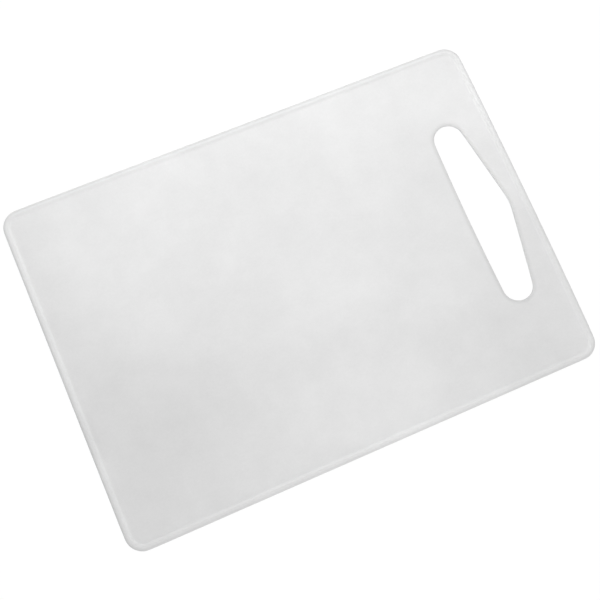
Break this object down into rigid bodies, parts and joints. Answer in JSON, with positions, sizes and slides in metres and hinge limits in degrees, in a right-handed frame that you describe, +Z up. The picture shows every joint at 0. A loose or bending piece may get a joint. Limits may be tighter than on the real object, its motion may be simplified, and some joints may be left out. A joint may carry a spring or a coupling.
{
  "type": "flexible cutting mat",
  "caption": "Thin flexible cutting mat of milky plastic with a raised rim, rounded corners and a hand slot at one end; its long sides curl up into a chute.",
  "frame": {"origin": "under the middle of the mat, on the table it lies on", "axes": "+X along the length towards the end with the hand slot, +Y across to the far long side, +Z up out of the cutting face"},
  "size_m": [0.34, 0.24, 0.003],
  "materials": {
    "milky_plastic": "satin, fine grain, frosted"
  },
  "bodies": {
    "middle": {"panel_middle": "milky_plastic", "grip_middle": "milky_plastic"},
    "inner_far": {"panel_inner_far": "milky_plastic", "grip_inner_far": "milky_plastic"},
    "slot_end_far": {"panel_slot_end_far": "milky_plastic"},
    "edge_far": {"panel_edge_far": "milky_plastic"},
    "inner_near": {"panel_inner_near": "milky_plastic", "grip_inner_near": "milky_plastic"},
    "slot_end_near": {"panel_slot_end_near": "milky_plastic"},
    "edge_near": {"panel_edge_near": "milky_plastic"}
  },
  "joints": [
    {"name": "far_curl", "type": "hinge", "parent": "middle", "child": "inner_far", "pos_m": [0, 0.01533, 0.003], "axis": [1, 0, 0], "range_deg": [0, 30], "stiffness_Nm_per_rad": 1.5},
    {"name": "far_curl_slot_end", "type": "hinge", "parent": "inner_far", "child": "slot_end_far", "pos_m": [0, 0.046, 0.003], "axis": [1, 0, 0], "range_deg": [0, 30], "stiffness_Nm_per_rad": 1.5},
    {"name": "far_curl_edge", "type": "hinge", "parent": "slot_end_far", "child": "edge_far", "pos_m": [0, 0.083, 0.003], "axis": [1, 0, 0], "range_deg": [0, 30], "stiffness_Nm_per_rad": 1.5},
    {"name": "near_curl", "type": "hinge", "parent": "middle", "child": "inner_near", "pos_m": [0, -0.01533, 0.003], "axis": [-1, 0, 0], "range_deg": [0, 30], "stiffness_Nm_per_rad": 1.5},
    {"name": "near_curl_slot_end", "type": "hinge", "parent": "inner_near", "child": "slot_end_near", "pos_m": [0, -0.046, 0.003], "axis": [-1, 0, 0], "range_deg": [0, 30], "stiffness_Nm_per_rad": 1.5},
    {"name": "near_curl_edge", "type": "hinge", "parent": "slot_end_near", "child": "edge_near", "pos_m": [0, -0.083, 0.003], "axis": [-1, 0, 0], "range_deg": [0, 30], "stiffness_Nm_per_rad": 1.5}
  ],
  "couplings": [
    {"joint": "far_curl_slot_end", "follows": "far_curl", "ratio": 1},
    {"joint": "far_curl_edge", "follows": "far_curl", "ratio": 1},
    {"joint": "near_curl_slot_end", "follows": "near_curl", "ratio": 1},
    {"joint": "near_curl_edge", "follows": "near_curl", "ratio": 1}
  ]
}
